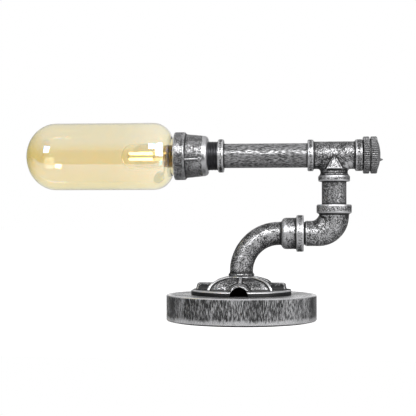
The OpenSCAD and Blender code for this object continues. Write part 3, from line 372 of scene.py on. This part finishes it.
def plainFinish(name, look):
    material, tree, shader = newMaterial(name)
    place = addNode(tree, "ShaderNodeTexCoord", {}, {}).outputs["Object"]
    grain = addNode(tree, "ShaderNodeTexNoise", {}, {
        "Vector": place, "Scale": perMm(look["grainMm"]),
        "Detail": plainGrain["detail"], "Roughness": plainGrain["sharp"]}).outputs["Fac"]
    colour = addNode(tree, "ShaderNodeMix", {"data_type": "RGBA"}, {
        0: grain, 6: linear(look["dark"]), 7: linear(look["light"])}).outputs[2]
    spread = plainGrain["roughSpread"]
    rough = addNode(tree, "ShaderNodeMapRange", {}, {
        "Value": grain, "To Min": look["rough"] - spread, "To Max": look["rough"] + spread}).outputs[0]
    bump = addNode(tree, "ShaderNodeBump", {}, {
        "Strength": look["bump"], "Distance": plainGrain["bumpMm"] * mm, "Height": grain}).outputs[0]
    shader.inputs["Metallic"].default_value = look["metal"]
    for socket, value in {"Base Color": colour, "Roughness": rough, "Normal": bump}.items():
        tree.links.new(value, shader.inputs[socket])
    return material


plain = {name: plainFinish(name, look) for name, look in plainLooks.items()}


# Blown glass and the lit phosphor coat

def glassFinish(name, glass):
    material, tree, shader = newMaterial(name)
    for socket, value in {"Roughness": 0.0, "Transmission Weight": 1.0, **glass["sockets"]}.items():
        shader.inputs[socket].default_value = value
    low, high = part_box(glass["node"])
    place = addNode(tree, "ShaderNodeTexCoord", {}, {}).outputs["Object"]
    along = addNode(tree, "ShaderNodeSeparateXYZ", {}, {0: place}).outputs["X"]
    pastEnd = addNode(tree, "ShaderNodeMapRange", {"interpolation_type": "SMOOTHSTEP"}, {
        "Value": along, "From Min": low.x, "From Max": low.x + glass["endMm"] * mm}).outputs[0]
    nearNeck = addNode(tree, "ShaderNodeMapRange", {"interpolation_type": "SMOOTHSTEP"}, {
        "Value": along, "From Min": high.x - glass["neckMm"] * mm, "From Max": high.x}).outputs[0]
    colour = addNode(tree, "ShaderNodeMix", {"data_type": "RGBA"}, {
        0: pastEnd, 6: linear(glass["end"]), 7: linear(glass["colour"])}).outputs[2]
    colour = addNode(tree, "ShaderNodeMix", {"data_type": "RGBA"}, {
        0: nearNeck, 6: colour, 7: linear(glass["neck"])}).outputs[2]
    tree.links.new(colour, shader.inputs["Base Color"])
    return material


amberGlass = glassFinish("blownAmberGlass", {  # lustred amber: pale towards the neck, deeper at the thick end
    "node": "glass_shade", "colour": "#F0EAD0", "end": "#E4D59A", "endMm": 20,
    "neck": "#F9F5E6", "neckMm": 90,
    "sockets": {"IOR": 1.47, "Thin Film Thickness": 145, "Thin Film IOR": 2.2}})  # film in nanometres
clearGlass = glassFinish("blownClearGlass", {  # thin clear bulb: hardly seen, a faint smoky rim
    "node": "bulb_glass", "colour": "#FFFDF8", "end": "#FBF8EE", "endMm": 8,
    "neck": "#FFFDF8", "neckMm": 10,
    "sockets": {"IOR": 1.06}})  # kept low, as so thin a wall hardly bends the light
phosphor = {"dark": "#EBC466", "light": "#FBDF8E", "grainMm": 0.5, "glow": "#FFEFBE", "strength": 3.2}


def phosphorFinish():  # powdery yellow coat, lit from inside: pale gold to the eye
    material, tree, shader = newMaterial("litPhosphor")
    place = addNode(tree, "ShaderNodeTexCoord", {}, {}).outputs["Object"]
    grain = addNode(tree, "ShaderNodeTexNoise", {}, {
        "Vector": place, "Scale": perMm(phosphor["grainMm"])}).outputs["Fac"]
    colour = addNode(tree, "ShaderNodeMix", {"data_type": "RGBA"}, {
        0: grain, 6: linear(phosphor["dark"]), 7: linear(phosphor["light"])}).outputs[2]
    tree.links.new(colour, shader.inputs["Base Color"])
    shader.inputs["Emission Color"].default_value = linear(phosphor["glow"])
    shader.inputs["Emission Strength"].default_value = phosphor["strength"]
    return material


litPhosphor = phosphorFinish()
print("materials made:", len(bpy.data.materials))


# Castings: where the rag adds silver or takes it away, and where highlight and shade are painted in, sizes in
# mm

teeX = sum(corner.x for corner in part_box("riser_nipple")) / 2  # metres, like the frame
runZ = sum(corner.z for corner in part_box("arm_pipe")) / 2
cupLow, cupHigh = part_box("shade_cup")
flangeWearAndShade = {
    "collarDeep": 1.3, "collar": 0.5,  # bright lip of the collar
    "boreR": 10.1, "boreFrom": 20, "bore": -1,  # painted shade: black inside the arched mouths
    "ringR": 13, "ringFrom": 34, "ring": -0.22,  # darker face round each mouth
    "rimWide": 2.5, "rimDeep": 1, "rim": 0.6,  # bright edge of the plate
}
bendShadeMarks = {"spigotFrom": -0.5, "spigot": -1, "beadTo": 3.6, "bead": -0.3}  # painted shade, measured up from the collar
teeSheenAndShadeMarks = {
    "webWide": 17.6, "webHigh": 15.6, "webApex": 2, "faceFrom": 14, "web": 0.06,  # painted highlight on the web below the run
    "rimWide": 1.8, "rim": -0.3, "creaseWide": 1.5, "crease": -0.6,  # painted shade on its border and in the creases beside it
    "spotAcross": 15.8, "spotDrop": 11.5, "spotR": 4.6, "spotFade": 4, "spot": 0.22,  # painted reflection on the run beside the branch, on the knob's side
}
# painted light inside the cup and on its lip, and less silver at the shoulder end
cupLightMarks = {"insideR": 22.4, "lipDeep": 0.7, "bare": 2, "endDeep": 6, "end": -0.2}


def flangeRubAndShade(place):
    radius, height = math.hypot(place.x, place.y) / mm, place.z / mm
    fromMouth = math.hypot(min(abs(place.x), abs(place.y)) / mm, height - baseTop)
    if height > collarTop - flangeWearAndShade["collarDeep"]:
        return flangeWearAndShade["collar"]
    # painted shade inside the mouths; the collar lip and plate edge are wear
    if fromMouth < flangeWearAndShade["boreR"] and radius > flangeWearAndShade["boreFrom"]:
        return flangeWearAndShade["bore"]
    if fromMouth < flangeWearAndShade["ringR"] and radius > flangeWearAndShade["ringFrom"] and height > plateTop:
        return flangeWearAndShade["ring"]
    if radius > plateR - flangeWearAndShade["rimWide"] and abs(height - plateTop) < flangeWearAndShade["rimDeep"]:
        return flangeWearAndShade["rim"]
    return 0


def bendShade(place):  # painted shade: the foot's bead darker, the spigot inside the flange black
    above = place.z / mm - collarTop
    if above < bendShadeMarks["spigotFrom"]:
        return bendShadeMarks["spigot"]
    return bendShadeMarks["bead"] if above < bendShadeMarks["beadTo"] else 0


def teeSheenAndShade(place):  # painted highlight on the web, painted shade on its border and creases, and a painted reflection beside the branch
    across, drop = (place.x - teeX) / mm, (runZ - place.z) / mm
    fromSpot = math.hypot(across - teeSheenAndShadeMarks["spotAcross"], drop - teeSheenAndShadeMarks["spotDrop"]) / teeSheenAndShadeMarks["spotR"]
    if fromSpot < 1:
        return teeSheenAndShadeMarks["spot"] * (1 - fromSpot ** teeSheenAndShadeMarks["spotFade"])
    if abs(place.y) / mm < teeSheenAndShadeMarks["faceFrom"] or not 0 <= drop <= teeSheenAndShadeMarks["webHigh"] + teeSheenAndShadeMarks["creaseWide"]:
        return 0
    inside = drop / teeSheenAndShadeMarks["webHigh"] * teeSheenAndShadeMarks["webWide"] / 2 - abs(across)
    if inside > 0 and teeSheenAndShadeMarks["webApex"] < drop < teeSheenAndShadeMarks["webHigh"]:
        return teeSheenAndShadeMarks["web"] if inside > teeSheenAndShadeMarks["rimWide"] else teeSheenAndShadeMarks["rim"]
    return teeSheenAndShadeMarks["crease"] if inside > -teeSheenAndShadeMarks["creaseWide"] else 0


def cupLightRub(place):  # painted light: silver kept bright inside and on the lip, against the painted hollow shade
    inside = math.hypot(place.y, place.z - runZ) / mm < cupLightMarks["insideR"]
    if inside or (place.x - cupLow.x) / mm < cupLightMarks["lipDeep"]:
        return cupLightMarks["bare"]
    return cupLightMarks["end"] if (cupHigh.x - place.x) / mm < cupLightMarks["endDeep"] else 0


def evenRub(place):
    return 0


# Castings: the solid's own form with cast fillets and a pebbled skin

castings = {  # voxels and smoothing set the fillets; face is a painted highlight, silver added on the front and back
    "flange": {"voxelMm": 0.5, "smooth": 3, "material": flangeIron, "rub": flangeRubAndShade, "face": 0},
    "sweep_bend": {"voxelMm": 0.55, "smooth": 4, "material": castIron, "rub": bendShade, "face": 0.12},
    "street_elbow": {"voxelMm": 0.55, "smooth": 5, "material": castIron, "rub": evenRub, "face": 0.08},
    "tee": {"voxelMm": 0.55, "smooth": 4, "material": teeIron, "rub": teeSheenAndShade, "face": 0.04},
    "shade_cup": {"voxelMm": 0.5, "smooth": 3, "material": cupIron, "rub": cupLightRub, "face": 0},
    "lock_ring": {"voxelMm": 0.5, "smooth": 3, "material": castIron, "rub": evenRub, "face": 0.07},
}
castSkin = {
    "weldMm": 0.001, "pebbleMm": 3.2, "pebbleHighMm": 0.2,
    "crownSteps": 14,  # further smoothing that an edge is measured against
    "faceFrom": 0.4, "faceFull": 0.8,  # share of the depth over which the painted front and back highlight builds to full
}

pebbleTexture = bpy.data.textures.new("pebble", "CLOUDS")
pebbleTexture.noise_scale = castSkin["pebbleMm"] * mm
pebbleTexture.noise_depth = 1


def meshNow(piece):
    return bpy.data.meshes.new_from_object(piece.evaluated_get(bpy.context.evaluated_depsgraph_get()))


def writePoints(mesh, name, values):
    mesh.attributes.new(name, "FLOAT", "POINT").data.foreach_set("value", values)


def rubAndPaintedLightAt(place, cast, depth):
    # painted highlight: faces turned toward front and back get more silver
    sheenShare = (abs(place.y) / depth - castSkin["faceFrom"]) / (castSkin["faceFull"] - castSkin["faceFrom"])
    return cast["rub"](place) + cast["face"] * min(1, max(0, sheenShare))


def castPiece(node, cast):
    mesh = bpy.data.meshes.new(node + "Cast")
    solid = bmesh.new()
    solid.from_mesh(nodes[node].data)
    bmesh.ops.remove_doubles(solid, verts=solid.verts, dist=castSkin["weldMm"] * mm)
    solid.to_mesh(mesh)
    solid.free()
    piece = bpy.data.objects.new(node + "Cast", mesh)
    scene.collection.objects.link(piece)
    remesh = piece.modifiers.new("remesh", "REMESH")
    remesh.mode = "VOXEL"
    remesh.voxel_size = cast["voxelMm"] * mm
    remesh.use_smooth_shade = True
    fillet = piece.modifiers.new("fillet", "SMOOTH")
    fillet.iterations = cast["smooth"]
    skin = piece.modifiers.new("pebble", "DISPLACE")
    skin.texture = pebbleTexture
    skin.strength = castSkin["pebbleHighMm"] * mm
    skin.texture_coords = "LOCAL"
    done = meshNow(piece)
    skin.show_viewport = False
    crisp = meshNow(piece)
    fillet.iterations += castSkin["crownSteps"]
    eased = meshNow(piece)
    pairs = zip(crisp.vertices, eased.vertices)
    writePoints(done, "crownMm", [(sharp.co - soft.co).dot(sharp.normal) / mm for sharp, soft in pairs])
    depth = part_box(node)[1].y
    writePoints(done, "rubAndPaintedLight", [rubAndPaintedLightAt(vertex.co, cast, depth) for vertex in done.vertices])
    piece.modifiers.clear()
    piece.data = done
    for spare in (mesh, crisp, eased):
        bpy.data.meshes.remove(spare)
    standFor(piece, node, cast["material"])


for node, cast in castings.items():
    castPiece(node, cast)
print("castings made:", len(castings))


# Turned pieces about the run's axis, or upright about the base's

axisR = 1e-7  # a smaller radius is a point on the axis


def lathe(name, profile, steps, closed, upright=False):
    angles = [2 * math.pi * step / steps for step in range(steps)]
    circle = [(math.sin(angle), math.cos(angle)) for angle in angles]
    verts, faces, rings = [], [], []
    for along, radius in profile:
        spots = [(0, 0)] if radius < axisR else [(radius * side, radius * up) for side, up in circle]
        rings.append(list(range(len(verts), len(verts) + len(spots))))
        verts += [(side, up, along) if upright else (along, side, runZ + up) for side, up in spots]
    pairs = list(zip(rings, rings[1:])) + ([(rings[-1], rings[0])] if closed else [])
    for ring, after in pairs:
        for step in range(steps):
            turn = (step + 1) % steps
            if len(ring) == 1:
                faces.append((ring[0], after[step], after[turn]))
            elif len(after) == 1:
                faces.append((ring[step], after[0], ring[turn]))
            else:
                faces.append((ring[step], after[step], after[turn], ring[turn]))
    return meshPiece(name, verts, faces)


def arc(along, out, radius, fromDeg, toDeg, steps):
    angles = [math.radians(fromDeg + (toDeg - fromDeg) * step / steps) for step in range(steps + 1)]
    return [(along + radius * math.cos(angle), out + radius * math.sin(angle)) for angle in angles]


# Glass capsule with a thin wall

glassShade = {
    "wallMm": 1.4, "endMm": 33.5, "shoulderMm": 22, "neckMm": 41, "neckShowMm": 1.7,
    "steps": 128, "capSteps": 28, "shoulderSteps": 16, "barrelShares": (0.01, 0.25, 0.5, 0.75, 0.99),
}


def capsuleProfile(inset):
    low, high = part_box("glass_shade")
    radius = (high.z - low.z) / 2 - inset
    end = glassShade["endMm"] * mm - inset
    shoulder = glassShade["shoulderMm"] * mm - inset
    neck = glassShade["neckMm"] / 2 * mm - inset
    shoulderX = cupLow.x - (glassShade["shoulderMm"] + glassShade["neckShowMm"]) * mm
    neckDeg = math.degrees(math.asin((neck - radius + shoulder) / shoulder))
    angles = [math.pi / 2 * step / glassShade["capSteps"] for step in range(glassShade["capSteps"] + 1)]
    cap = [(low.x + inset + end * (1 - math.cos(angle)), radius * math.sin(angle)) for angle in angles]
    start = cap[-1][0]
    barrel = [(start + (shoulderX - start) * share, radius) for share in glassShade["barrelShares"]]
    bend = arc(shoulderX, radius - shoulder, shoulder, 90, neckDeg, glassShade["shoulderSteps"])
    return cap + barrel + bend + [(high.x, neck)]


def buildGlassShade():
    profile = capsuleProfile(0) + capsuleProfile(glassShade["wallMm"] * mm)[::-1]
    piece = lathe("amberCapsule", profile, glassShade["steps"], False)
    standFor(piece, "glass_shade", amberGlass)


buildGlassShade()
print("glass made")


# Rubber gland round the flex, between the base and the bend's spigot

gland = {"boreR": 3.1, "r": 10.4, "roundR": 0.7, "footR": 0.01, "gap": 0.03, "steps": 64, "roundSteps": 6}


def buildGland():
    low = baseTop + gland["gap"]
    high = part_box("sweep_bend")[0].z / mm - gland["gap"]
    foot = [(low, gland["boreR"]), (low, gland["r"] - gland["footR"]), (low + gland["footR"], gland["r"])]
    roundR = gland["roundR"]
    top = arc(high - roundR, gland["r"] - roundR, roundR, 90, 0, gland["roundSteps"])
    profile = [(z * mm, r * mm) for z, r in foot + top + [(high, gland["boreR"])]]
    piece = lathe("flexGland", profile, gland["steps"], True, upright=True)
    dress(piece, plain["blackRubber"])
    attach(piece, "stand")


buildGland()
print("gland made")


# Lit phosphor sticks: beaded chips under one coat

sticks = {
    "rMm": 1.5, "beadMm": 0.18, "beads": 11, "pitchMm": 6.4, "rings": 88, "sides": 20,
    "tip": 0.35, "taper": 12,  # how blunt the ends are, and how soon a stick is full
}
stickLow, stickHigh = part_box("bulb_filaments")


def stickRing(share, y, z):
    bead = sticks["beadMm"] * abs(math.sin(math.pi * sticks["beads"] * share))
    full = min(1, sticks["tip"] + sticks["taper"] * min(share, 1 - share))
    radius = (sticks["rMm"] - sticks["beadMm"] + bead) * full * mm
    angles = [2 * math.pi * side / sticks["sides"] for side in range(sticks["sides"])]
    x = stickLow.x + (stickHigh.x - stickLow.x) * share
    return [(x, y + radius * math.cos(angle), z + radius * math.sin(angle)) for angle in angles]


def buildSticks():
    verts, faces = [], []
    rings, sides = sticks["rings"], sticks["sides"]
    out = sticks["pitchMm"] / 2 * mm
    for y, z in [(-out, runZ - out), (-out, runZ + out), (out, runZ - out), (out, runZ + out)]:
        first = len(verts)
        for ring in range(rings + 1):
            verts += stickRing(ring / rings, y, z)
        for ring in range(rings):
            near, far = first + ring * sides, first + (ring + 1) * sides
            for side in range(sides):
                turn = (side + 1) % sides
                faces.append((near + side, near + turn, far + turn, far + side))
        faces.append(tuple(first + side for side in reversed(range(sides))))
        faces.append(tuple(first + rings * sides + side for side in range(sides)))
    standFor(meshPiece("phosphorSticks", verts, faces), "bulb_filaments", litPhosphor)


buildSticks()


# Lamp holder with a rounded rim

holder = {"bevelMm": 0.8, "bevelSteps": 3}


def buildHolder():
    piece = bpy.data.objects.new("mouldedHolder", nodes["holder_body"].data.copy())
    scene.collection.objects.link(piece)
    rimRound = piece.modifiers.new("rim", "BEVEL")
    rimRound.width = holder["bevelMm"] * mm
    rimRound.segments = holder["bevelSteps"]
    standFor(piece, "holder_body", plain["whiteNylon"])


buildHolder()
print("bulb and holder made")


# Nodes whose solids keep their own shape

keptNodes = {
    "base_disc": brushedWood, "riser_nipple": riserIron, "arm_pipe": armIron, "knob": knobIron,
    "cup_nipple": plain["darkThreadAndShade"], "base_pad": plain["pressedFelt"],
    "cord_grommet": plain["blackRubber"], "shade_sleeve": plain["milkySilicone"],
    "supply_flex": plain["blackRubber"], "lamp_flex": plain["blackRubber"],
    "terminal_block": plain["whiteNylon"], "terminal_screw": plain["nickelPlate"],
    "flange_screws": plain["nickelPlate"],
    "holder_shell": plain["rolledBrass"], "holder_contact": plain["rolledBrass"],
    "bulb_cap": plain["warmNickel"], "bulb_cap_insulator": plain["blackPhenolic"],
    "bulb_contact": plain["nickelPlate"], "bulb_glass": clearGlass, "bulb_stem": clearGlass,
    "bulb_leads": plain["nickelPlate"], "end_bush": plain["nickelPlate"],
    "switch_body": plain["blackPhenolic"], "switch_nut": plain["nickelPlate"],
    "switch_shaft": plain["nickelPlate"], "knob_set_screw": plain["nickelPlate"],
}
for node, material in keptNodes.items():
    dress(nodes[node], material)
print("nodes dressed:", len(keptNodes))
